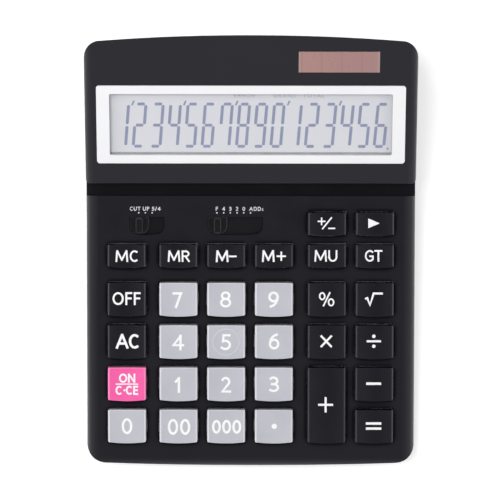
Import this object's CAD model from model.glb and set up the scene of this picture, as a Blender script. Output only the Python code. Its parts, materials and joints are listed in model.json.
import bpy
import bmesh
import json
import math
from mathutils import Matrix, Vector

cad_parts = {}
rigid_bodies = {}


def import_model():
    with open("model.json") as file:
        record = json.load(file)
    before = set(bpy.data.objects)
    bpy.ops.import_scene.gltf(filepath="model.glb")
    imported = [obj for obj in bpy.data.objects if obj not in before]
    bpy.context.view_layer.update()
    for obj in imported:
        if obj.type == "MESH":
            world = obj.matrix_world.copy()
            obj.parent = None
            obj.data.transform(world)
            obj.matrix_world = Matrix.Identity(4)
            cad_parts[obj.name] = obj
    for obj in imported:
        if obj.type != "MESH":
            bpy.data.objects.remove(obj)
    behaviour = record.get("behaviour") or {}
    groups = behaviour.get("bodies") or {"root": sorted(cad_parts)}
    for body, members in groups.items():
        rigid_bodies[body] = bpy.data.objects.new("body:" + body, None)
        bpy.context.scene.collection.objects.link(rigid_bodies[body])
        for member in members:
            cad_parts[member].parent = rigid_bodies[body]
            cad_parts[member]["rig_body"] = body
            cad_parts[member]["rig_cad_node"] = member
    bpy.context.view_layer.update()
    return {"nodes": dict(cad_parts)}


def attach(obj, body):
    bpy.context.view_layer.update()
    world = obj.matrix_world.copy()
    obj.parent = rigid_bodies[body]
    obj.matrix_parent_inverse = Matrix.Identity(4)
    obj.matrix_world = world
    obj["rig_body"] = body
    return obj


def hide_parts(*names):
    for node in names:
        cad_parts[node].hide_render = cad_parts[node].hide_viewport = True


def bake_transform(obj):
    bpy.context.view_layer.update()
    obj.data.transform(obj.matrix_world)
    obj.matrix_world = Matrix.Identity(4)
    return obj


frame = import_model()
nodes = frame["nodes"]
mm = 0.001

# the two tilted faces that most pieces lie on: origin in mm, and tilt in degrees
panelPlace = {"y": -101.7, "z": 12.0, "tilt": 4.2}
headPlace = {"hingeV": 139.6, "hingeW": -2.7, "noseR": 4.5, "axisW": -6.5, "tilt": 12.2}


def shifted(x, y, z):
    return Matrix.Translation((x * mm, y * mm, z * mm))


def turned(degrees, axis):
    return Matrix.Rotation(math.radians(degrees), 4, axis)


def panelMatrix():
    return shifted(0, panelPlace["y"], panelPlace["z"]) @ turned(panelPlace["tilt"], "X")


def headMatrix():
    h = headPlace
    return (panelMatrix() @ shifted(0, h["hingeV"], h["hingeW"]) @ turned(h["tilt"], "X")
            @ shifted(0, -h["noseR"], -h["axisW"]))


# small tools

def objectMode():
    if bpy.context.object and bpy.context.object.mode != "OBJECT":
        bpy.ops.object.mode_set(mode="OBJECT")


def pick(*objs):
    objectMode()
    bpy.ops.object.select_all(action="DESELECT")
    for o in objs:
        o.select_set(True)
    bpy.context.view_layer.objects.active = objs[0]


def edit(obj, kind="VERT"):
    pick(obj)
    bpy.ops.object.mode_set(mode="EDIT")
    bpy.ops.mesh.select_mode(type=kind)
    bpy.ops.mesh.select_all(action="DESELECT")


def newShape(operator, name, **values):
    bpy.ops.object.select_all(action="DESELECT")
    operator(**values)
    bpy.context.object.name = name
    return bpy.context.object


def copyOf(obj):
    o = obj.copy()
    o.data = obj.data.copy()
    bpy.context.scene.collection.objects.link(o)
    return o


def joined(parts, name=None):
    pick(*parts)
    bpy.ops.object.join()
    if name:
        parts[0].name = name
    return parts[0]


def applyModifiers(obj):
    pick(obj)
    for m in list(obj.modifiers):
        bpy.ops.object.modifier_apply(modifier=m.name)


def applyPlace(obj):
    pick(obj)
    bpy.ops.object.transform_apply(location=True, rotation=True, scale=True)


def thickened(obj, thick):
    # gives a flat piece a body below it, and leaves it finished at the origin
    body = obj.modifiers.new("body", "SOLIDIFY")
    body.thickness = thick * mm
    body.offset = -1
    applyModifiers(obj)
    applyPlace(obj)


# flatWeight is how far broad faces outweigh the rounded edges beside them
bevelSpec = {"segments": 2, "flatWeight": 80}


def bevelled(obj, width, angle=35, smooth=35):
    m = obj.modifiers.new("edgeRound", "BEVEL")
    m.width = width * mm
    m.segments = bevelSpec["segments"]
    m.limit_method = "ANGLE"
    m.angle_limit = math.radians(angle)
    m.miter_outer = "MITER_ARC"
    applyModifiers(obj)
    bpy.ops.object.shade_smooth_by_angle(angle=math.radians(smooth))
    # broad flat faces keep their own direction beside the rounded edges
    even = obj.modifiers.new("evenShade", "WEIGHTED_NORMAL")
    even.weight = bevelSpec["flatWeight"]
    even.keep_sharp = True
    applyModifiers(obj)


# points closer than this in metres are one, and faces within this angle are one
copySpec = {"merge": 0.000002, "flat": 0.6}


def copyOfNode(node, name):
    pick(nodes[node])
    bpy.ops.object.duplicate()
    piece = bpy.context.object
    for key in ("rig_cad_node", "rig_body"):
        if key in piece:
            del piece[key]
    piece.parent = None
    piece.matrix_world = Matrix.Identity(4)
    piece.name = name
    piece.data.name = name
    piece.data.materials.clear()
    edit(piece)
    bpy.ops.mesh.select_all(action="SELECT")
    bpy.ops.mesh.customdata_custom_splitnormals_clear()
    bpy.ops.mesh.remove_doubles(threshold=copySpec["merge"])
    bpy.ops.mesh.dissolve_limited(angle_limit=math.radians(copySpec["flat"]))
    objectMode()
    return piece


def finishPiece(piece, body, material, replaced=()):
    if material:
        piece.data.materials.clear()
        piece.data.materials.append(material)
    if replaced:
        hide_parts(*replaced)
    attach(piece, body)


# shader tools

def feed(tree, node, inputs):
    # a socket is linked, and anything else becomes the input's own value
    for key, value in inputs.items():
        into = node.inputs[key]
        if isinstance(value, bpy.types.NodeSocket):
            tree.links.new(value, into)
        else:
            into.default_value = (*value, 1) if into.type == "RGBA" else value


def addNode(tree, kind, inputs=None, **values):
    node = tree.nodes.new("ShaderNode" + kind)
    for key, value in values.items():
        setattr(node, key, value)
    feed(tree, node, inputs or {})
    return node


def maths(tree, operation, *inputs):
    return addNode(tree, "Math", dict(enumerate(inputs)), operation=operation).outputs[0]


def mapped(tree, value, start, end, low=0.0, high=1.0, smooth=False):
    # a number carried from start and end to low and high
    inputs = {"Value": value, "From Min": start, "From Max": end, "To Min": low, "To Max": high}
    kind = "SMOOTHSTEP" if smooth else "LINEAR"
    return addNode(tree, "MapRange", inputs, interpolation_type=kind).outputs["Result"]


def mixColour(tree, fac, a, b):
    return addNode(tree, "Mix", {0: fac, 6: a, 7: b}, data_type="RGBA").outputs[2]


def partOf(tree, vector, axis):
    return addNode(tree, "SeparateXYZ", {"Vector": vector}).outputs[axis]


def addRamp(tree, fac, stops):
    node = addNode(tree, "ValToRGB", {"Fac": fac})
    marks = node.color_ramp.elements
    while len(marks) < len(stops):
        marks.new(0.5)
    for mark, (place, colour) in zip(marks, stops):
        mark.position = place
        mark.color = (*colour, 1)
    return node.outputs["Color"]


def newGroup(name, numbers, result):
    # takes a vector and some numbers, and gives one number
    tree = bpy.data.node_groups.new(name, "ShaderNodeTree")
    add = tree.interface.new_socket
    add(name="Vector", in_out="INPUT", socket_type="NodeSocketVector")
    for label, value in numbers.items():
        add(name=label, in_out="INPUT", socket_type="NodeSocketFloat").default_value = value
    add(name=result, in_out="OUTPUT", socket_type="NodeSocketFloat")
    return tree, tree.nodes.new("NodeGroupInput").outputs


def closeGroup(tree, result):
    feed(tree, tree.nodes.new("NodeGroupOutput"), {0: result})
    return tree


def grainGroup():
    # fine spark-eroded texture of moulded plastic
    tree, given = newGroup("mouldGrain", {"Scale": 2600.0}, "Height")
    place = {"Vector": given["Vector"], "Scale": given["Scale"]}
    clouds = addNode(tree, "TexNoise", {**place, "Detail": 3.0, "Roughness": 0.6})
    cells = addNode(tree, "TexVoronoi", place, feature="SMOOTH_F1")
    mix = addNode(tree, "Mix", {0: 0.35, 2: clouds.outputs["Fac"], 3: cells.outputs["Distance"]},
                  data_type="FLOAT")
    return closeGroup(tree, mix.outputs[0])


def driftGroup():
    # slow change over the surface, for colour and polish
    tree, given = newGroup("surfaceDrift", {"Scale": 40.0, "Low": 0.0, "High": 1.0}, "Value")
    clouds = addNode(tree, "TexNoise", {"Vector": given["Vector"], "Scale": given["Scale"],
                                        "Detail": 4.0, "Roughness": 0.55}).outputs["Fac"]
    return closeGroup(tree, mapped(tree, clouds, 0.3, 0.7, given["Low"], given["High"]))


def rubGroup():
    # light rub on the outer edges: where a rounded normal leaves the true one
    tree, given = newGroup("edgeRub", {"Amount": 0.3}, "Mask")
    rounded = addNode(tree, "Bevel", {"Radius": 0.4 * mm}, samples=4).outputs["Normal"]
    true = addNode(tree, "NewGeometry").outputs["Normal"]
    dot = addNode(tree, "VectorMath", {0: rounded, 1: true}, operation="DOT_PRODUCT")
    edge = mapped(tree, dot.outputs["Value"], 0.995, 0.9)
    clouds = addNode(tree, "TexNoise", {"Vector": given["Vector"], "Scale": 900.0, "Detail": 2.0})
    patchy = maths(tree, "MULTIPLY", edge, clouds.outputs["Fac"])
    return closeGroup(tree, maths(tree, "MULTIPLY", patchy, given["Amount"]))


def rimGroup():
    # the polished margin of a key's top: wide at its two sides, narrow at its back
    tree, given = newGroup("keyRim", {"Back": 0.95}, "Mask")
    across = maths(tree, "ABSOLUTE", partOf(tree, given["Vector"], "X"))
    side = mapped(tree, across, 0.885, 0.935, smooth=True)
    end = maths(tree, "ADD", given["Back"], 0.03)
    back = mapped(tree, partOf(tree, given["Vector"], "Y"), given["Back"], end, smooth=True)
    return closeGroup(tree, maths(tree, "MAXIMUM", side, back))


groups = {"grain": grainGroup(), "drift": driftGroup(), "rub": rubGroup(), "rim": rimGroup()}
mats = {}


def placed(tree, key, coords, **values):
    inputs = {"Vector": coords, **values}
    return addNode(tree, "Group", inputs, node_tree=groups[key]).outputs[0]


def cleared(owner):
    owner.use_nodes = True
    owner.node_tree.nodes.clear()
    return owner.node_tree


def newMaterial(name):
    mats[name] = bpy.data.materials.new(name)
    tree = cleared(mats[name])
    shader = addNode(tree, "BsdfPrincipled")
    addNode(tree, "OutputMaterial", {"Surface": shader.outputs["BSDF"]})
    return tree, shader, addNode(tree, "TexCoord").outputs["Object"]


def surface(tree, shader, coords, base, polish, height=None, bump=None):
    # a base colour, a drifting polish as scale, low and high, and a bump as strength and depth
    scale, low, high = polish
    rough = placed(tree, "drift", coords, Scale=scale, Low=low, High=high)
    feed(tree, shader, {"Base Color": base, "Roughness": rough})
    if bump:
        inputs = {"Height": height, "Strength": bump[0], "Distance": bump[1]}
        feed(tree, shader, {"Normal": addNode(tree, "Bump", inputs).outputs["Normal"]})


# shared by all moulded plastics: grain depth in metres; gap is where the shine starts and ends
# to fade, and what is left of it
plasticSpec = {"polishScale": 90.0, "grainDepth": 0.00004, "shine": 0.5, "ior": 1.46,
               "gap": (0.62, 0.96, 0.02), "glowScale": 0.4, "glowReach": (0.001,) * 3}


def plastic(name, look):
    # moulded plastic: two close tones, a grain bump, drifting polish and rubbed edges
    tree, shader, coords = newMaterial(name)
    tone = placed(tree, "drift", coords, Scale=look["tone"])
    base = mixColour(tree, tone, look["dark"], look["light"])
    if "rub" in look:
        rub = placed(tree, "rub", coords, Amount=look["rub"])
        base = mixColour(tree, rub, base, look["rubColour"])
    if "rim" in look:
        # the key's own map runs from -1 to 1 across its top and from front to back
        place = addNode(tree, "Attribute", attribute_name="keyPlace").outputs["Vector"]
        rim = placed(tree, "rim", place, Back=look["rimBack"])
        base = mixColour(tree, rim, base, look["rim"])
    grain = placed(tree, "grain", coords, Scale=look["grain"])
    surface(tree, shader, coords, base, (plasticSpec["polishScale"], *look["polish"]), grain,
            (look["bump"], plasticSpec["grainDepth"]))
    shine = look.get("specular", plasticSpec["shine"])
    if "hollow" in look:
        # light fades in the narrow gaps around the keys and knobs
        near = addNode(tree, "AmbientOcclusion", {"Distance": look["hollow"] * mm}, samples=8)
        shine = mapped(tree, near.outputs["AO"], *plasticSpec["gap"], shine, smooth=True)
    feed(tree, shader, {"IOR": plasticSpec["ior"], "Specular IOR Level": shine})
    if "glow" in look:
        feed(tree, shader, {"Subsurface Weight": look["glow"],
                            "Subsurface Scale": plasticSpec["glowScale"],
                            "Subsurface Radius": plasticSpec["glowReach"]})


shellRub = {"rub": 0.35, "rubColour": (0.05, 0.05, 0.055)}
keyLook = {"tone": 60.0, "polish": (0.30, 0.40), "grain": 4200.0, "bump": 0.10, "rimBack": 0.95}
looks = {
    "casePlastic": {
        "dark": (0.0030, 0.0030, 0.0052), "light": (0.0052, 0.0048, 0.0076), "tone": 18.0,
        "polish": (0.30, 0.38), "grain": 3200.0, "bump": 0.18, "specular": 0.42, "hollow": 3.0,
        **shellRub},
    "headPlastic": {
        "dark": (0.0046, 0.0042, 0.0066), "light": (0.0072, 0.0064, 0.0092), "tone": 16.0,
        "polish": (0.34, 0.44), "grain": 3200.0, "bump": 0.22, **shellRub},
    "keyGreyPlastic": {
        **keyLook, "dark": (0.475, 0.475, 0.525), "light": (0.515, 0.515, 0.56),
        "rub": 0.5, "rubColour": (0.72, 0.72, 0.76), "rim": (0.70, 0.70, 0.735)},
    "keyRingPlastic": {**keyLook, "dark": (0.56, 0.56, 0.60), "light": (0.60, 0.60, 0.64)},
    "keyBlackPlastic": {
        **keyLook, "dark": (0.0034, 0.0032, 0.0056), "light": (0.0056, 0.0052, 0.0082),
        "polish": (0.26, 0.34), "specular": 0.37, "rub": 0.3, "rubColour": (0.05, 0.05, 0.055),
        "rim": (0.044, 0.044, 0.047), "rimBack": 2.0},
    "keyPinkPlastic": {
        **keyLook, "dark": (0.84, 0.100, 0.340), "light": (0.90, 0.125, 0.390),
        "polish": (0.28, 0.36), "rub": 0.5, "rubColour": (1.0, 0.30, 0.56),
        "rim": (1.0, 0.26, 0.53)},
    "knobPlastic": {
        "dark": (0.0040, 0.0040, 0.0045), "light": (0.0065, 0.0065, 0.0072), "tone": 80.0,
        "polish": (0.30, 0.40), "grain": 4000.0, "bump": 0.08, "specular": 0.28,
        "rub": 1.0, "rubColour": (0.20, 0.20, 0.20)},
    "bezelPlastic": {
        "dark": (0.845, 0.845, 0.86), "light": (0.875, 0.875, 0.89), "tone": 30.0,
        "polish": (0.16, 0.24), "grain": 2600.0, "bump": 0.04},
    "legendWhite": {
        "dark": (0.86, 0.86, 0.86), "light": (0.92, 0.92, 0.92), "tone": 200.0,
        "polish": (0.30, 0.40), "grain": 4200.0, "bump": 0.05},
    "markWhite": {
        "dark": (0.60, 0.60, 0.62), "light": (0.78, 0.78, 0.80), "tone": 900.0,
        "polish": (0.45, 0.55), "grain": 3000.0, "bump": 0.10},
    "footRubber": {
        "dark": (0.012, 0.012, 0.012), "light": (0.022, 0.022, 0.022), "tone": 300.0,
        "polish": (0.70, 0.85), "grain": 1800.0, "bump": 0.35},
    "matRubber": {
        "dark": (0.46, 0.48, 0.50), "light": (0.53, 0.55, 0.56), "tone": 90.0,
        "polish": (0.45, 0.60), "grain": 1800.0, "bump": 0.12, "glow": 0.25},
    "sealRubber": {
        "dark": (0.30, 0.30, 0.32), "light": (0.36, 0.36, 0.38), "tone": 300.0,
        "polish": (0.50, 0.60), "grain": 1800.0, "bump": 0.10},
    "stripPlastic": {
        "dark": (0.0030, 0.0030, 0.0036), "light": (0.0048, 0.0048, 0.0056), "tone": 18.0,
        "polish": (0.62, 0.72), "grain": 3200.0, "bump": 0.22, "specular": 0.25},
    "zebraRubber": {
        "dark": (0.03, 0.03, 0.03), "light": (0.05, 0.05, 0.05), "tone": 300.0,
        "polish": (0.55, 0.70), "grain": 1800.0, "bump": 0.12},
    "lcdInk": {
        "dark": (0.205, 0.235, 0.350), "light": (0.235, 0.265, 0.385), "tone": 300.0,
        "polish": (0.35, 0.45), "grain": 2000.0, "bump": 0.0},
    "lcdFaintInk": {
        "dark": (0.36, 0.37, 0.45), "light": (0.41, 0.42, 0.50), "tone": 300.0,
        "polish": (0.35, 0.45), "grain": 2000.0, "bump": 0.0},
}
for name, look in looks.items():
    plastic(name, look)


def metal(name, look):
    tree, shader, coords = newMaterial(name)
    stretch = {"Vector": coords, "Scale": look.get("stretch", (1, 1, 1))}
    place = addNode(tree, "Mapping", stretch).outputs["Vector"]
    scale = look["scale"]
    tone = placed(tree, "drift", place, Scale=scale)
    base = mixColour(tree, tone, look["dark"], look["light"])
    grain = placed(tree, "grain", place, Scale=scale * 3)
    surface(tree, shader, place, base, (scale * 2, *look["polish"]), grain,
            (look["bump"], 0.00002))
    feed(tree, shader, {"Metallic": 1.0})


metals = {
    "screwSteel": {"dark": (0.30, 0.30, 0.31), "light": (0.50, 0.50, 0.52), "scale": 700.0,
                   "polish": (0.25, 0.42), "bump": 0.15},
    "pinSteel": {"dark": (0.48, 0.48, 0.50), "light": (0.62, 0.62, 0.63), "scale": 500.0,
                 "stretch": (0.1, 1, 1), "polish": (0.18, 0.32), "bump": 0.10},
    "contactNickel": {"dark": (0.50, 0.49, 0.46), "light": (0.68, 0.67, 0.63), "scale": 600.0,
                      "polish": (0.20, 0.35), "bump": 0.08},
    "wiperBronze": {"dark": (0.55, 0.36, 0.16), "light": (0.75, 0.52, 0.25), "scale": 600.0,
                    "polish": (0.22, 0.38), "bump": 0.08},
}
for name, look in metals.items():
    metal(name, look)


def boardMaterial():
    # green lacquer over copper tracks, with tinned pads
    tree, shader, coords = newMaterial("boardLacquer")
    tracks = addNode(tree, "TexBrick", {
        "Vector": coords, "Scale": 160.0, "Mortar Size": 0.06, "Brick Width": 1.3,
        "Row Height": 0.36, "Color1": (0, 0, 0), "Color2": (0.15, 0.15, 0.15),
        "Mortar": (1, 1, 1)}, offset=0.5).outputs["Color"]
    lacquer = mixColour(tree, tracks, (0.004, 0.055, 0.020), (0.020, 0.130, 0.045))
    pads = addNode(tree, "TexVoronoi", {"Vector": coords, "Scale": 210.0, "Randomness": 0.35})
    dots = maths(tree, "LESS_THAN", pads.outputs["Distance"], 0.13)
    base = mixColour(tree, dots, lacquer, (0.55, 0.53, 0.46))
    surface(tree, shader, coords, base, (120.0, 0.22, 0.36), tracks, (0.4, 0.00005))
    feed(tree, shader, {"Metallic": dots})


def ribbonMaterial():
    # white film with printed tracks along its length
    tree, shader, coords = newMaterial("ribbonFilm")
    wave = addNode(tree, "TexWave", {"Vector": coords, "Scale": 250.0}, bands_direction="X")
    tracks = mapped(tree, wave.outputs["Fac"], 0.55, 0.70, smooth=True)
    base = mixColour(tree, tracks, (0.72, 0.72, 0.70), (0.20, 0.21, 0.23))
    surface(tree, shader, coords, base, (150.0, 0.30, 0.45), tracks, (0.3, 0.00004))


def cellMaterial():
    # plain wrapped cell: steel ends, dark wrapper and one copper band, all along x in metres
    ends = {"left": -0.0205, "right": 0.0223, "band": 0.0090}
    tree, shader, coords = newMaterial("cellWrapper")
    along = partOf(tree, coords, "X")
    past = {key: maths(tree, "GREATER_THAN", along, value) for key, value in ends.items()}
    inside = maths(tree, "SUBTRACT", past["left"], past["right"])
    wrap = mixColour(tree, past["band"], (0.020, 0.028, 0.040), (0.55, 0.28, 0.13))
    base = mixColour(tree, inside, (0.60, 0.60, 0.60), wrap)
    grain = placed(tree, "grain", coords, Scale=1500.0)
    surface(tree, shader, coords, base, (200.0, 0.22, 0.36), grain, (0.08, 0.00003))
    feed(tree, shader, {"Metallic": maths(tree, "SUBTRACT", 1.0, inside)})


def lcdMaterial():
    # silvery reflector under the liquid crystal glass
    tree, shader, coords = newMaterial("lcdGlass")
    speck = addNode(tree, "TexNoise", {"Vector": coords, "Scale": 5200.0, "Detail": 2.0})
    speck = speck.outputs["Fac"]
    base = mixColour(tree, speck, (0.585, 0.590, 0.62), (0.69, 0.695, 0.725))
    surface(tree, shader, coords, base, (70.0, 0.30, 0.38), speck, (0.05, 0.00002))


# x of the solar cell's two ends in metres, its colours from left to right, and its comb of lines
solarSpec = {"left": 0.0222, "right": 0.0596, "comb": 33.6, "line": (0.24, 0.13, 0.12),
             "stops": [(0.0, (0.39, 0.265, 0.235)), (0.035, (0.385, 0.215, 0.20)),
                       (0.25, (0.375, 0.21, 0.19)), (0.5, (0.36, 0.205, 0.19)),
                       (0.96, (0.35, 0.20, 0.185)), (1.0, (0.38, 0.265, 0.245))]}


def solarMaterial(name, coat):
    # a brown film with pale ends; coat is the clear pane that lies on it
    tree, shader, coords = newMaterial(name)
    along = mapped(tree, partOf(tree, coords, "X"), solarSpec["left"], solarSpec["right"])
    film = addRamp(tree, along, solarSpec["stops"])
    wave = addNode(tree, "TexWave", {"Vector": coords, "Scale": solarSpec["comb"]},
                   bands_direction="X")
    lines = mapped(tree, wave.outputs["Fac"], 0.97, 1.0, 0.0, 0.30)
    base = mixColour(tree, lines, film, solarSpec["line"])
    surface(tree, shader, coords, base, (150.0, 0.25, 0.35))
    feed(tree, shader, {"Coat Weight": coat})


def paneMaterial():
    # clear pane that lets lamp light through to what lies under it
    tree, shader, coords = newMaterial("displayPane")
    surface(tree, shader, coords, (1.0, 1.0, 1.0), (60.0, 0.0, 0.02))
    feed(tree, shader, {"Transmission Weight": 1.0, "IOR": 1.45})
    path = addNode(tree, "LightPath").outputs
    either = maths(tree, "MAXIMUM", path["Is Shadow Ray"], path["Is Diffuse Ray"])
    through = addNode(tree, "BsdfTransparent").outputs["BSDF"]
    mix = addNode(tree, "MixShader", {0: either, 1: shader.outputs["BSDF"], 2: through})
    out = next(n for n in tree.nodes if n.type == "OUTPUT_MATERIAL")
    feed(tree, out, {"Surface": mix.outputs["Shader"]})


boardMaterial()
ribbonMaterial()
cellMaterial()
lcdMaterial()
solarMaterial("solarFilm", 0.0)
paneMaterial()
solarMaterial("solarPane", 0.3)
print("materials made:", len(mats))

# solids that keep their shape and take a finish

nodeFinish = {
    "key_mat": "matRubber", "key_board": "boardLacquer", "display_board": "boardLacquer",
    "rubber_feet": "footRubber", "battery_cell": "cellWrapper",
    "contact_spring": "contactNickel", "contact_plate": "contactNickel",
    "rounding_wiper": "wiperBronze", "decimal_wiper": "wiperBronze",
    "display_window": "displayPane", "lcd_panel": "lcdGlass", "zebra_strip": "zebraRubber",
    "solar_window": "solarPane", "solar_cell": "solarFilm", "hinge_pins": "pinSteel",
    "hinge_washers": "pinSteel",
}
for node, finish in nodeFinish.items():
    slots = nodes[node].material_slots
    for s in slots:
        s.material = mats[finish]
    if not slots:
        nodes[node].data.materials.append(mats[finish])
print("finishes set on", len(nodeFinish), "solids")

# housings: copies of the solids with rounded edges

housings = {
    "upperCase": {"node": "base_upper_case", "body": "base", "slot": "case_plastic",
                  "finish": "casePlastic", "round": 0.22},
    "lowerCase": {"node": "base_lower_case", "body": "base", "slot": "case_plastic",
                  "finish": "casePlastic", "round": 0.2},
    "headFront": {"node": "head_front_shell", "body": "head", "slot": "head_plastic",
                  "finish": "headPlastic", "round": 0.18},
    "headBack": {"node": "head_back_shell", "body": "head", "slot": "head_plastic",
                 "finish": "headPlastic", "round": 0.18},
    "bezelFrame": {"node": "display_bezel", "body": "head", "slot": "bezel_plastic",
                   "finish": "bezelPlastic", "round": 0.14},
    "batteryLid": {"node": "battery_door", "body": "battery_door", "slot": "case_plastic",
                   "finish": "casePlastic", "round": 0.15},
    "roundingSlider": {"node": "rounding_knob", "body": "rounding_switch",
                       "slot": "knob_plastic", "finish": "knobPlastic", "round": 0.26},
    "decimalSlider": {"node": "decimal_knob", "body": "decimal_switch",
                      "slot": "knob_plastic", "finish": "knobPlastic", "round": 0.26},
}
for name, part in housings.items():
    piece = copyOfNode(part["node"], name)
    bevelled(piece, part["round"])
    finishPiece(piece, part["body"], mats[part["finish"]], [part["node"]])
    print(name, len(piece.data.polygons), "faces")


def makeCable():
    cable = copyOfNode("ribbon_cable", "flatCable")
    cable.data.materials.append(mats["ribbonFilm"])
    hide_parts("ribbon_cable")
    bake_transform(cable)
    print("cable made")


makeCable()

# the sunk strip behind the panel is left matt
stripSpec = {"startV": 127.7, "belowW": -1.0, "upward": 0.5}


def mattStrip():
    case = bpy.data.objects["upperCase"]
    case.data.materials.append(mats["stripPlastic"])
    toPanel = panelMatrix().inverted()
    for face in case.data.polygons:
        place = toPanel @ face.center
        if (place.y > stripSpec["startV"] * mm and place.z < stripSpec["belowW"] * mm
                and face.normal.z > stripSpec["upward"]):
            face.material_index = 1
    print("strip made matt")


mattStrip()

# lettering: each letter is a few strokes in a box one high and one wide, by their middle lines

def bend(x, y, rx, ry, start, end, step=15):
    # points along an arc of an oval, in degrees from the right
    count = max(3, round(abs(end - start) / step))
    angles = [math.radians(start + (end - start) * n / count) for n in range(count + 1)]
    return [(x + rx * math.cos(a), y + ry * math.sin(a)) for a in angles]


def oval(x, y, rx, ry):
    return bend(x, y, rx, ry, 90, 450)


def upsideDown(strokes):
    return [[(1 - x, 1 - y) for x, y in points] for points in strokes]


sixStrokes = [bend(0.5, 0.31, 0.5, 0.31, 0, 360), bend(0.97, 0.31, 0.97, 0.69, 180, 99)]
bowlStroke = [(0, 0), (0, 1), (0.5, 1)] + bend(0.5, 0.745, 0.46, 0.255, 90, -90) + [(0, 0.49)]
# the width of each letter as a share of its height, and its strokes
letters = {
    "0": (0.66, [oval(0.5, 0.5, 0.5, 0.5)]),
    "1": (0.38, [[(0, 0.76), (0.76, 0.98)], [(0.8, 1), (0.8, 0)]]),
    "2": (0.63, [bend(0.44, 0.725, 0.46, 0.275, 150, -32) + [(0.02, 0), (1, 0)]]),
    "3": (0.63, [bend(0.40, 0.755, 0.50, 0.245, 138, -90),
                 bend(0.40, 0.255, 0.58, 0.255, 90, -135), [(0.20, 0.51), (0.42, 0.51)]]),
    "4": (0.76, [[(0.74, 0), (0.74, 1)], [(0.70, 0.92), (0, 0.29), (1, 0.29)]]),
    "5": (0.62, [[(0.92, 1), (0.16, 1), (0.10, 0.55)],
                 bend(0.38, 0.30, 0.60, 0.30, 118, -138)]),
    "6": (0.65, sixStrokes),
    "7": (0.65, [[(0, 1), (0.98, 1), (0.32, 0)]]),
    "8": (0.68, [oval(0.5, 0.765, 0.42, 0.235), oval(0.5, 0.27, 0.5, 0.27)]),
    "9": (0.65, upsideDown(sixStrokes)),
    "A": (0.90, [[(0, 0), (0.48, 1)], [(0.52, 1), (1, 0)], [(0.25, 0.32), (0.75, 0.32)]]),
    "C": (0.76, [bend(0.56, 0.5, 0.56, 0.5, 58, 302)]),
    "D": (0.80, [[(0, 0), (0, 1), (0.40, 1)] + bend(0.40, 0.5, 0.6, 0.5, 90, -90) + [(0, 0)]]),
    "E": (0.58, [[(1, 1), (0, 1), (0, 0), (1, 0)], [(0, 0.52), (0.9, 0.52)]]),
    "F": (0.58, [[(1, 1), (0, 1), (0, 0)], [(0, 0.52), (0.9, 0.52)]]),
    "G": (0.82, [bend(0.54, 0.5, 0.54, 0.5, 50, 318) + [(0.94, 0.46), (0.58, 0.46)]]),
    "L": (0.52, [[(0, 1), (0, 0), (1, 0)]]),
    "M": (1.08, [[(0, 0), (0.06, 1)], [(0.09, 1), (0.5, 0.12)], [(0.5, 0.12), (0.91, 1)],
                 [(0.94, 1), (1, 0)]]),
    "N": (0.84, [[(0, 0), (0, 1)], [(0.03, 1), (0.97, 0)], [(1, 0), (1, 1)]]),
    "O": (0.94, [oval(0.5, 0.5, 0.5, 0.5)]),
    "P": (0.66, [bowlStroke]),
    "R": (0.70, [bowlStroke, [(0.46, 0.49), (1, 0)]]),
    "T": (0.70, [[(0, 1), (1, 1)], [(0.5, 1), (0.5, 0)]]),
    "U": (0.78, [[(0, 1), (0, 0.4)] + bend(0.5, 0.4, 0.5, 0.4, 180, 360) + [(1, 1)]]),
    "%": (1.20, [oval(0.18, 0.74, 0.18, 0.26), oval(0.82, 0.26, 0.18, 0.26),
                 [(0.28, 0), (0.72, 1)]]),
    "/": (0.40, [[(0, -0.05), (1, 1.05)]]),
}
# marks are laid this high in mm, in slices this wide; where they cross, each is a step higher
markSpec = {"lift": 0.03, "step": 0.012, "steps": 4, "slice": 0.9, "keyThick": 0.10,
            "caseThick": 0.08, "same": 0.001, "leastMitre": 0.55}


def stepOf(n):
    return markSpec["step"] * (n % markSpec["steps"])


def isClosed(points):
    return (points[0] - points[-1]).length < markSpec["same"]


def stroke(points, width):
    # a flat band along points in mm, with square ends and mitred corners
    o = newShape(bpy.ops.mesh.primitive_grid_add, "mark", x_subdivisions=len(points) - 1,
                 y_subdivisions=1, size=2)
    path = [Vector(p) for p in points]
    closed = isClosed(path)
    last = len(path) - 1
    for vert in o.data.vertices:
        n = round((vert.co.x + 1) / 2 * last)
        if n:
            before = path[n] - path[n - 1]
        else:
            before = path[-1] - path[-2] if closed else path[1] - path[0]
        after = path[n + 1] - path[n] if n < last else path[1] - path[0] if closed else before
        before, after = before.normalized(), after.normalized()
        side = Vector((-before.y - after.y, before.x + after.x)).normalized()
        mitre = max(markSpec["leastMitre"], side.dot(Vector((-before.y, before.x))))
        place = path[n] + side * (width / 2 / mitre) * (1 if vert.co.y > 0 else -1)
        vert.co = (place.x, place.y, 0)
    return o


def word(text, height, weight, x=0.0, y=0.0, spacing=0.16, squeeze=1.0):
    # letters of one height and stroke weight in mm, centred on a place
    widths = [letters[c][0] * height * squeeze for c in text]
    gap = spacing * height
    left = x - (sum(widths) + gap * (len(text) - 1)) / 2
    parts = []
    for c, wide in zip(text, widths):
        for points in letters[c][1]:
            line = [Vector((left + weight / 2 + px * (wide - weight),
                            y - height / 2 + weight / 2 + py * (height - weight)))
                    for px, py in points]
            if not isClosed(line):
                # an open stroke reaches half its weight past its two ends
                line[0] += (line[0] - line[1]).normalized() * weight / 2
                line[-1] += (line[-1] - line[-2]).normalized() * weight / 2
            parts.append(stroke(line, weight))
        left += wide + gap
    return parts


def disc(name, x, y, r, corners=24):
    o = newShape(bpy.ops.mesh.primitive_circle_add, name, vertices=corners, radius=r,
                 fill_type="NGON", location=(0, 0, 0))
    o.data.transform(Matrix.Translation((x, y, 0)))
    return o


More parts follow.
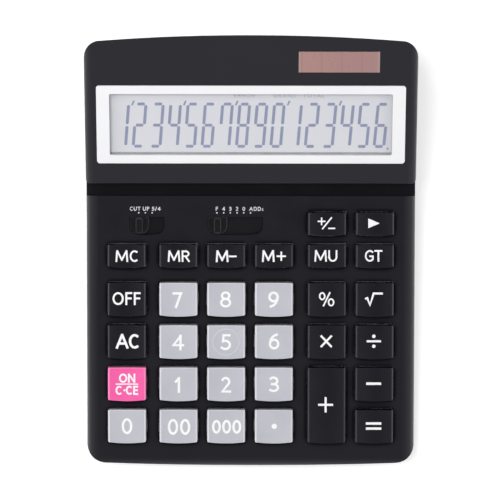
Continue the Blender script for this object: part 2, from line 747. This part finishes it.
# what stands on each key, in mm: words as [text, height, weight, x, y], bars as points,
# dots as [x, y, radius] and an arrow as [back, half its height, tip, y]
keyMarks = {
    "key_0": {"words": [["0", 7.6, 1.1, 0, 0.2]]},
    "key_00": {"words": [["00", 7.6, 1.15, 0.3, -0.1]], "spacing": 0.11, "squeeze": 0.98},
    "key_000": {"words": [["000", 6.6, 1.12, 0.25, 0]], "spacing": 0.085, "squeeze": 0.97},
    "key_point": {"dots": [[0.25, 0.2, 1.25]]},
    "key_equals": {"bars": [[(-3.9, 1.62), (3.4, 1.62)], [(-3.9, -0.8), (3.4, -0.8)]],
                   "weight": 1.15},
    "key_on_clear": {"words": [["ON", 4.35, 0.8, 0.1, 2.95], ["C", 4.3, 0.8, -3.8, -2.8],
                               ["CE", 4.3, 0.8, 2.4, -2.8]], "spacing": 0.08, "squeeze": 0.95,
                     "bars": [[(-5.3, 0.15), (5.3, 0.15)]], "weight": 0.55,
                     "dots": [[-1.15, -2.8, 0.5]]},
    "key_1": {"words": [["1", 7.5, 1.12, -0.3, -0.25]]},
    "key_2": {"words": [["2", 7.55, 1.1, 0, -0.1]]},
    "key_3": {"words": [["3", 7.45, 1.08, 0.2, 0.15]]},
    "key_plus": {"bars": [[(-3.95, 0.45), (3.1, 0.45)], [(-0.42, -3.2), (-0.42, 4.1)]],
                 "weight": 1.02},
    "key_minus": {"bars": [[(-3.85, 0.48), (3.25, 0.48)]], "weight": 1.2},
    "key_ac": {"words": [["AC", 6.95, 1.15, 0.4, 0.4]], "spacing": 0.02, "squeeze": 0.96},
    "key_4": {"words": [["4", 7.4, 1.1, -0.1, -0.1]]},
    "key_5": {"words": [["5", 7.6, 1.08, 0, 0.05]]},
    "key_6": {"words": [["6", 7.65, 1.1, 0.1, 0.45]]},
    "key_multiply": {"bars": [[(-2.8, -2.2), (2.35, 3.2)], [(-2.8, 3.2), (2.35, -2.2)]],
                     "weight": 0.97},
    "key_divide": {"bars": [[(-3.7, 0.55), (3.1, 0.55)]], "weight": 1.0,
                   "dots": [[-0.3, 2.9, 0.84], [-0.3, -1.8, 0.84]]},
    "key_off": {"words": [["OFF", 6.1, 0.92, -0.05, 0.55]], "spacing": 0.12, "squeeze": 0.92},
    "key_7": {"words": [["7", 7.5, 1.12, -0.45, -0.15]], "squeeze": 0.95},
    "key_8": {"words": [["8", 7.65, 1.06, -0.25, 0.2]]},
    "key_9": {"words": [["9", 7.7, 1.15, -0.2, 0.15]]},
    "key_percent": {"words": [["%", 6.75, 0.76, -0.1, 0.35]], "squeeze": 0.9},
    "key_root": {"bars": [[(-4.5, 0.55), (-3.5, 0.95), (-2.2, -2.3), (-0.5, 3.1), (3.8, 3.1)]],
                 "weight": 0.98},
    "key_mc": {"words": [["MC", 5.5, 0.84, 0.2, 0.1]], "spacing": 0.13},
    "key_mr": {"words": [["MR", 5.4, 0.82, 0.2, 0.1]], "spacing": 0.13},
    "key_m_minus": {"words": [["M", 5.55, 0.88, -1.9, 0.1]],
                    "bars": [[(1.2, 0.05), (4.9, 0.05)]], "weight": 0.8},
    "key_m_plus": {"words": [["M", 5.55, 0.88, -2.7, 0.2]],
                   "bars": [[(1.2, 0.15), (5.6, 0.15)], [(3.4, -2.05), (3.4, 2.35)]],
                   "weight": 0.8},
    "key_mu": {"words": [["MU", 5.45, 0.8, -0.55, 0.3]], "spacing": 0.12},
    "key_gt": {"words": [["GT", 5.5, 0.8, -0.6, 0.35]], "spacing": 0.02, "squeeze": 0.97},
    "key_sign": {"bars": [[(-4.4, 1.4), (-0.8, 1.4)], [(-2.6, -0.4), (-2.6, 3.2)],
                          [(-2.3, -2.3), (2.2, 3.3)], [(0.5, -1.9), (3.8, -1.9)]],
                 "weight": 0.68},
    "key_backspace": {"arrow": [-3.2, 2.3, 2.15, 0.5]},
}
# places of the columns and rows on the panel in mm, and each row's keys from left to right
keySpec = {
    "columns": [-58.35, -34.05, -11.55, 10.95, 35.85, 58.35],
    "rows": [19.1, 39.16, 59.21, 79.27, 99.77, 114.96],
    "topW": 4.0, "dish": 0.7, "half": 8.05, "round": 0.24, "rimFrom": 2.0, "dropFrom": 12,
    "tallShift": 10.03,
    "names": [["key_0", "key_00", "key_000", "key_point", "", "key_equals"],
              ["key_on_clear", "key_1", "key_2", "key_3", "key_plus", "key_minus"],
              ["key_ac", "key_4", "key_5", "key_6", "key_multiply", "key_divide"],
              ["key_off", "key_7", "key_8", "key_9", "key_percent", "key_root"],
              ["key_mc", "key_mr", "key_m_minus", "key_m_plus", "key_mu", "key_gt"],
              ["", "", "", "", "key_sign", "key_backspace"]]}
greyKeys = ["key_%s" % n for n in range(10)] + ["key_00", "key_000", "key_point"]


def keyFinish(name):
    if name == "key_on_clear":
        return "keyPinkPlastic", "key_pink"
    if name in greyKeys:
        return "keyGreyPlastic", "key_grey"
    return "keyBlackPlastic", "key_black"


def marksFor(spec):
    parts = []
    for letter in spec.get("words", []):
        parts += word(*letter, spec.get("spacing", 0.16), spec.get("squeeze", 1.0))
    parts += [stroke(points, spec["weight"]) for points in spec.get("bars", [])]
    parts += [disc("mark", *dot) for dot in spec.get("dots", [])]
    if "arrow" in spec:
        back, half, tip, y = spec["arrow"]
        head = disc("mark", 0, 0, 1, corners=3)
        for vert, (px, py) in zip(head.data.vertices,
                                  [(tip, y), (back, half + y), (back, y - half)]):
            vert.co = (px, py, 0)
        parts.append(head)
    return parts


def layOn(mark, target, x, v, lift):
    # slices the flat mark, drops it on the curved top and gives it a body
    xs = [p.co.x for p in mark.data.vertices]
    edit(mark)
    cut = math.ceil(min(xs) / markSpec["slice"]) * markSpec["slice"]
    while cut < max(xs):
        bpy.ops.mesh.select_all(action="SELECT")
        bpy.ops.mesh.bisect(plane_co=(cut, 0, 0), plane_no=(1, 0, 0))
        cut += markSpec["slice"]
    objectMode()
    mark.data.transform(Matrix.Scale(mm, 4))
    mark.matrix_world = panelMatrix() @ shifted(x, v, keySpec["dropFrom"])
    wrap = mark.modifiers.new("drop", "SHRINKWRAP")
    wrap.wrap_method = "PROJECT"
    wrap.use_project_z = True
    wrap.use_negative_direction = True
    wrap.use_positive_direction = False
    wrap.target = target
    wrap.offset = lift * mm
    thickened(mark, markSpec["keyThick"])
    mark.data.materials.clear()
    mark.data.materials.append(mats["legendWhite"])


def markPlace(cap):
    # each point's place on the key's top, from -1 to 1 both ways
    toPanel = panelMatrix().inverted()
    points = [toPanel @ v.co for v in cap.data.vertices]
    top = [p for p in points if p.z > keySpec["rimFrom"] * mm]
    low = [min(p[i] for p in top) for i in range(2)]
    high = [max(p[i] for p in top) for i in range(2)]
    place = cap.data.attributes.new("keyPlace", "FLOAT_VECTOR", "POINT")
    for p, entry in zip(points, place.data):
        entry.vector = [2 * (p[i] - low[i]) / (high[i] - low[i]) - 1 for i in range(2)] + [0]


def makeKey(name, x, v):
    finish, slot = keyFinish(name)
    cap = copyOfNode(name, name + "_cap")
    bevelled(cap, keySpec["round"], angle=30, smooth=40)
    markPlace(cap)
    marks = marksFor(keyMarks[name])
    for n, mark in enumerate(marks):
        layOn(mark, cap, x, v, markSpec["lift"] + stepOf(n))
    cap.data.materials.clear()
    cap.data.materials.append(mats[finish])
    finishPiece(joined([cap] + marks), name, None, [name])


def makeKeys():
    for v, names in zip(keySpec["rows"], keySpec["names"]):
        for x, name in zip(keySpec["columns"], names):
            if name:
                makeKey(name, x, v - keySpec["tallShift"] if name == "key_plus" else v)
    print("keys made")


makeKeys()

# the words and dots over the two slide switches

switchMarks = {
    "high": 1.9, "weight": 0.32, "spacing": 0.2, "labelV": 122.0, "dotV": 120.1, "dotR": 0.34,
    "pitch": 3.16,
    "rows": [{"x": -52.75, "dots": 3, "words": [["CUT", -1.7], ["UP", 3.5], ["5/4", 8.25]]},
             {"x": -15.95, "dots": 6, "words": [["F", 0], ["4", 3.16], ["3", 6.32], ["2", 9.48],
                                                ["0", 12.64], ["ADD", 17.97]]}],
    "small": ["2", 1.15, 0.24, 5.55, 121.65],
}


def makeSwitchMarks():
    spec = switchMarks
    parts = word(*spec["small"])
    for row in spec["rows"]:
        for text, x in row["words"]:
            parts += word(text, spec["high"], spec["weight"], row["x"] + x, spec["labelV"],
                          spec["spacing"])
        parts += [disc("mark", row["x"] + n * spec["pitch"], spec["dotV"], spec["dotR"], 12)
                  for n in range(row["dots"])]
    for n, part in enumerate(parts):
        part.data.transform(Matrix.Translation((0, 0, stepOf(n))))
    marks = joined(parts, "switchMarks")
    marks.data.transform(Matrix.Scale(mm, 4))
    marks.matrix_world = panelMatrix() @ shifted(0, 0, markSpec["lift"])
    thickened(marks, markSpec["caseThick"])
    finishPiece(marks, "base", mats["markWhite"])
    print("switch marks made")


makeSwitchMarks()

# the digits in the display

digitSpec = {"text": "1234567890123456", "firstX": -60.1, "pitch": 8.06, "middleV": 27.68,
             "topW": -3.08, "wide": 5.9, "high": 21.65, "stroke": 1.40, "gap": 0.5,
             "slant": 4.7, "tick": [(4.6, 9.5), (5.6, 11.7)], "tickWide": 0.85,
             "tickEvery": 3, "dot": [64.0, -11.2, 0.5], "faintUp": 14.2,
             "faint": [["ERROR", -3.0], ["GRAND", 15.7], ["TOTAL", 29.3]], "faintHigh": 1.8,
             "faintWeight": 0.28, "faintSpacing": 0.31, "faintSqueeze": 1.15, "thick": 0.05,
             "tipFrom": 0.01}
segmentsOf = {"0": "abcdef", "1": "bc", "2": "abged", "3": "abgcd", "4": "fgbc", "5": "afgcd",
              "6": "afgedc", "7": "fabc", "8": "abcdefg", "9": "abcdfg"}


def segment(x, y, length, upright):
    # one bar with pointed ends: a six-sided disc stretched at its two tips
    o = disc("bar", 0, 0, digitSpec["stroke"] / 2 / math.cos(math.pi / 6), corners=6)
    o.data.transform(turned(90, "Z"))
    stretch = (length - digitSpec["stroke"]) / 2
    edit(o)
    mesh = bmesh.from_edit_mesh(o.data)
    for side in (-1, 1):
        bpy.ops.mesh.select_all(action="DESELECT")
        for v in mesh.verts:
            v.select = v.co.x * side > digitSpec["tipFrom"]
        mesh.select_flush(True)
        bmesh.update_edit_mesh(o.data)
        bpy.ops.transform.translate(value=(side * stretch, 0, 0))
    objectMode()
    if upright:
        o.data.transform(turned(90, "Z"))
    o.data.transform(Matrix.Translation((x, y, 0)))
    return o


def makeDigits():
    d = digitSpec
    w, h = d["wide"] / 2 - d["stroke"] / 2, d["high"] / 2 - d["stroke"] / 2
    bars = {"a": (0, h, 2 * w, False), "g": (0, 0, 2 * w, False), "d": (0, -h, 2 * w, False),
            "f": (-w, h / 2, h, True), "b": (w, h / 2, h, True),
            "e": (-w, -h / 2, h, True), "c": (w, -h / 2, h, True)}
    pattern = {key: segment(x, y, length - 2 * d["gap"], upright)
               for key, (x, y, length, upright) in bars.items()}
    parts = []
    lean = Matrix.Identity(4)
    lean[0][1] = math.tan(math.radians(d["slant"]))
    for n, figure in enumerate(d["text"]):
        x = d["firstX"] + n * d["pitch"]
        for key in segmentsOf[figure]:
            o = copyOf(pattern[key])
            o.data.transform(Matrix.Translation((x, 0, 0)) @ lean)
            parts.append(o)
        if n % d["tickEvery"] == 0 and n < len(d["text"]) - 1:
            parts.append(stroke([(x + px, py) for px, py in d["tick"]], d["tickWide"]))
    parts.append(disc("bar", *d["dot"]))
    for o in pattern.values():
        bpy.data.objects.remove(o)
    faint = []
    digits = joined(parts, "lcdDigits")
    for text, x in d["faint"]:
        faint += word(text, d["faintHigh"], d["faintWeight"], x, d["faintUp"],
                      d["faintSpacing"], d["faintSqueeze"])
    for piece, finish in ((digits, "lcdInk"), (joined(faint, "lcdWords"), "lcdFaintInk")):
        piece.data.transform(Matrix.Scale(mm, 4))
        piece.matrix_world = headMatrix() @ shifted(0, d["middleV"], d["topW"])
        thickened(piece, d["thick"])
        finishPiece(piece, "head", mats[finish])
    print("display digits made")


makeDigits()

# grey seal under the edge of the display pane

sealSpec = {"wide": 131.9, "front": 13.9, "back": 43.2, "showSide": 0.06, "showFront": 0.85,
            "hidden": 0.6, "topW": -2.98, "thick": 0.10, "cells": 3}


def makeSeal():
    # a grid of three by three faces with its middle face taken out
    r = sealSpec
    xs = [-r["wide"] / 2 - r["hidden"], -r["wide"] / 2 + r["showSide"]]
    xs += [-x for x in reversed(xs)]
    vs = [r["front"] - r["hidden"], r["front"] + r["showFront"], r["back"],
          r["back"] + r["hidden"]]
    seal = newShape(bpy.ops.mesh.primitive_grid_add, "displaySeal", x_subdivisions=r["cells"],
                    y_subdivisions=r["cells"], size=2)
    for vert in seal.data.vertices:
        column, row = [round((place + 1) * r["cells"] / 2) for place in vert.co[:2]]
        vert.co = (xs[column], vs[row], 0)
    edit(seal, "FACE")
    mesh = bmesh.from_edit_mesh(seal.data)
    mesh.faces.ensure_lookup_table()
    mesh.faces[len(mesh.faces) // 2].select = True
    bmesh.update_edit_mesh(seal.data)
    bpy.ops.mesh.delete(type="FACE")
    objectMode()
    seal.data.transform(Matrix.Scale(mm, 4))
    seal.matrix_world = headMatrix() @ shifted(0, 0, r["topW"])
    thickened(seal, r["thick"])
    finishPiece(seal, "head", mats["sealRubber"])
    print("display seal made")


makeSeal()

# raised ring on the middle number key

ringSpec = {"x": -11.55, "v": 59.21, "radius": 6.15, "wire": 0.42, "steps": 96, "around": 10,
            "sink": 0.26}


def makeRing():
    r = ringSpec
    ring = newShape(bpy.ops.mesh.primitive_torus_add, "middleRing",
                    major_radius=r["radius"] * mm, minor_radius=r["wire"] * mm,
                    major_segments=r["steps"], minor_segments=r["around"])
    # the dish of the key lifts the ring towards its left and right sides
    half, dish = keySpec["half"], keySpec["dish"]
    big = (half * half + dish * dish) / (2 * dish)
    for v in ring.data.vertices:
        x = v.co.x / mm
        v.co.z += (big - math.sqrt(big * big - x * x) - dish + keySpec["topW"] - r["sink"]) * mm
    ring.matrix_world = panelMatrix() @ shifted(r["x"], r["v"], 0)
    applyPlace(ring)
    bpy.ops.object.shade_smooth()
    finishPiece(ring, "key_5", mats["keyRingPlastic"])
    print("ring made")


makeRing()

# screws with a cross recess: arm, depth and thread in mm, turn in degrees from one to the next,
# and recess, neck and shank as shares
screwSpec = {"recess": 0.62, "arm": 0.26, "depth": 0.55, "thread": 0.55, "neck": 0.86,
             "shank": 0.98, "round": 80, "sides": 32, "turn": 37, "upward": 0.9}
screwSets = {
    "caseScrews": {"node": "case_screws", "body": "base", "place": Matrix.Identity(4),
                   "shank": 1.25, "head": 2.5, "headT": 1.5},
    "boardScrews": {"node": "board_screws", "body": "base", "place": panelMatrix(),
                    "shank": 0.9, "head": 2.0, "headT": 1.0},
    "headScrews": {"node": "head_screws", "body": "head", "place": headMatrix(),
                   "shank": 1.0, "head": 2.0, "headT": 1.1},
    "displayScrews": {"node": "display_board_screws", "body": "head", "place": headMatrix(),
                      "shank": 0.9, "head": 1.6, "headT": 0.7},
}


def looseParts(node, matrix):
    # lowest and highest corner of each loose solid of a node, in the tilted place's own mm
    copy = copyOfNode(node, "measure")
    edit(copy)
    bpy.ops.mesh.separate(type="LOOSE")
    objectMode()
    back = matrix.inverted()
    found = []
    for o in list(bpy.context.selected_objects):
        points = [back @ v.co for v in o.data.vertices]
        found.append([[end(p[i] for p in points) / mm for i in range(3)] for end in (min, max)])
        bpy.data.objects.remove(o)
    return found


def oneScrew(spec, length):
    # head down at z = 0, shank upwards; rings along the shank stand for the thread
    r = screwSpec
    o = newShape(bpy.ops.mesh.primitive_cylinder_add, "screw", vertices=r["sides"],
                 radius=spec["head"], depth=spec["headT"], location=(0, 0, spec["headT"] / 2))
    applyPlace(o)
    edit(o, "FACE")
    mesh = bmesh.from_edit_mesh(o.data)
    for f in mesh.faces:
        f.select = f.normal.z > r["upward"]
    bmesh.update_edit_mesh(o.data)
    bpy.ops.mesh.inset(thickness=spec["head"] - spec["shank"] * r["shank"])
    left = length - spec["headT"]
    turns = max(3, int(left / r["thread"]))
    for n in range(turns):
        size = 1 / r["neck"] if n % 2 else r["neck"]
        bpy.ops.mesh.extrude_region_move(
            TRANSFORM_OT_translate={"value": (0, 0, left / turns)})
        bpy.ops.transform.resize(value=(size, size, 1), center_override=(0, 0, 0))
    objectMode()
    for turn in (0, 90):
        cutter = newShape(bpy.ops.mesh.primitive_cube_add, "cutter", size=1, location=(0, 0, 0))
        reach = spec["head"] * r["recess"] * 2
        cutter.data.transform(turned(turn, "Z")
                              @ Matrix.Diagonal((reach, r["arm"] * 2, r["depth"] * 2, 1)))
        m = o.modifiers.new("recess", "BOOLEAN")
        m.operation = "DIFFERENCE"
        m.solver = "EXACT"
        m.object = cutter
        applyModifiers(o)
        bpy.data.objects.remove(cutter)
    # the screw is drawn a thousand times its size, and so is its rounding
    bevelled(o, r["round"], angle=50, smooth=40)
    return o


def makeScrews():
    for name, spec in screwSets.items():
        spots = looseParts(spec["node"], spec["place"])
        pattern = oneScrew(spec, spots[0][1][2] - spots[0][0][2])
        parts = []
        for n, (low, high) in enumerate(spots):
            o = copyOf(pattern)
            turn = turned(screwSpec["turn"] * n % 90, "Z")
            middle = Matrix.Translation(((low[0] + high[0]) / 2, (low[1] + high[1]) / 2, low[2]))
            o.data.transform(spec["place"] @ Matrix.Scale(mm, 4) @ middle @ turn)
            parts.append(o)
        bpy.data.objects.remove(pattern)
        finishPiece(joined(parts, name), spec["body"], mats["screwSteel"],
                    [spec["node"]])
    print("screws made")


makeScrews()

# floor, lamps and camera

# lift is the floor's own light, soft the room's; room is what mirrors see from below to overhead
stageSpec = {"floor": (0.80, 0.80, 0.80), "lift": 0.47, "size": 12.0, "soft": 0.42,
             "room": [(0.0, 1.0), (0.50, 1.0), (0.70, 0.76), (0.89, 0.66), (0.93, 0.72),
                      (0.96, 0.64), (0.974, 0.44), (0.985, 0.17), (0.99, 0.12), (1.0, 0.02)],
             "green": 0.99, "blue": 1.12}


def seenDirectly(tree):
    # 1 for what the camera, a mirror or a clear pane looks at, and 0 for light on things
    path = addNode(tree, "LightPath").outputs
    either = maths(tree, "MAXIMUM", path["Is Camera Ray"], path["Is Glossy Ray"])
    return maths(tree, "MAXIMUM", either, path["Is Transmission Ray"])


def makeFloor():
    floor = newShape(bpy.ops.mesh.primitive_plane_add, "floor", size=stageSpec["size"])
    mat = bpy.data.materials.new("paleFloor")
    tree = cleared(mat)
    strength = maths(tree, "MULTIPLY", seenDirectly(tree), stageSpec["lift"])
    matte = addNode(tree, "BsdfDiffuse", {"Color": stageSpec["floor"]}).outputs["BSDF"]
    glow = addNode(tree, "Emission", {"Strength": strength}).outputs["Emission"]
    both = addNode(tree, "AddShader", {0: matte, 1: glow}).outputs["Shader"]
    addNode(tree, "OutputMaterial", {"Surface": both})
    floor.data.materials.append(mat)


def makeWorld():
    # soft room light; mirrors see a white room with a dim patch overhead
    world = bpy.data.worlds.new("studio")
    bpy.context.scene.world = world
    tree = cleared(world)
    stops = [(place, (value, value * stageSpec["green"], value * stageSpec["blue"]))
             for place, value in stageSpec["room"]]
    coords = addNode(tree, "TexCoord").outputs["Generated"]
    view = addRamp(tree, partOf(tree, coords, "Z"), stops)
    room = addNode(tree, "Background", {"Color": view}).outputs["Background"]
    soft = addNode(tree, "Background", {"Color": (1, 1, 1), "Strength": stageSpec["soft"]})
    mix = addNode(tree, "MixShader",
                  {0: seenDirectly(tree), 1: soft.outputs["Background"], 2: room})
    addNode(tree, "OutputWorld", {"Surface": mix.outputs["Shader"]})


lamps = {
    "leftSoftbox": {"place": (-1.05, 0.0, 0.75), "size": (0.5, 0.9), "watts": 5.0},
    "rightSoftbox": {"place": (1.05, 0.05, 0.75), "size": (0.5, 0.9), "watts": 4.3},
    "topSoftbox": {"place": (-0.40, 0.12, 1.45), "size": (0.5, 0.5), "watts": 7.0},
    "backLamp": {"place": (-0.45, 0.75, 1.35), "size": (0.35, 0.35), "watts": 2.5},
}
mirroredLamps = ["backLamp"]


def makeLamps():
    for name, spec in lamps.items():
        data = bpy.data.lights.new(name, "AREA")
        data.shape = "RECTANGLE"
        data.size, data.size_y = spec["size"]
        data.energy = spec["watts"]
        lamp = bpy.data.objects.new(name, data)
        bpy.context.scene.collection.objects.link(lamp)
        lamp.location = spec["place"]
        lamp.visible_glossy = name in mirroredLamps
        lamp.rotation_euler = Vector(spec["place"]).to_track_quat("Z", "Y").to_euler()


viewSpec = {"height": 1.2145, "x": -0.00036, "y": 0.0006, "lens": 182.55, "sensor": 36.0,
            "roll": 0.07}


def makeCamera():
    data = bpy.data.cameras.new("camera")
    data.sensor_width = viewSpec["sensor"]
    data.lens = viewSpec["lens"]
    camera = bpy.data.objects.new("camera", data)
    bpy.context.scene.collection.objects.link(camera)
    camera.location = (viewSpec["x"], viewSpec["y"], viewSpec["height"])
    camera.rotation_euler = (0, 0, math.radians(viewSpec["roll"]))
    bpy.context.scene.camera = camera


makeFloor()
makeWorld()
makeLamps()
makeCamera()
bpy.context.scene.view_settings.view_transform = "Standard"
print("stage set")
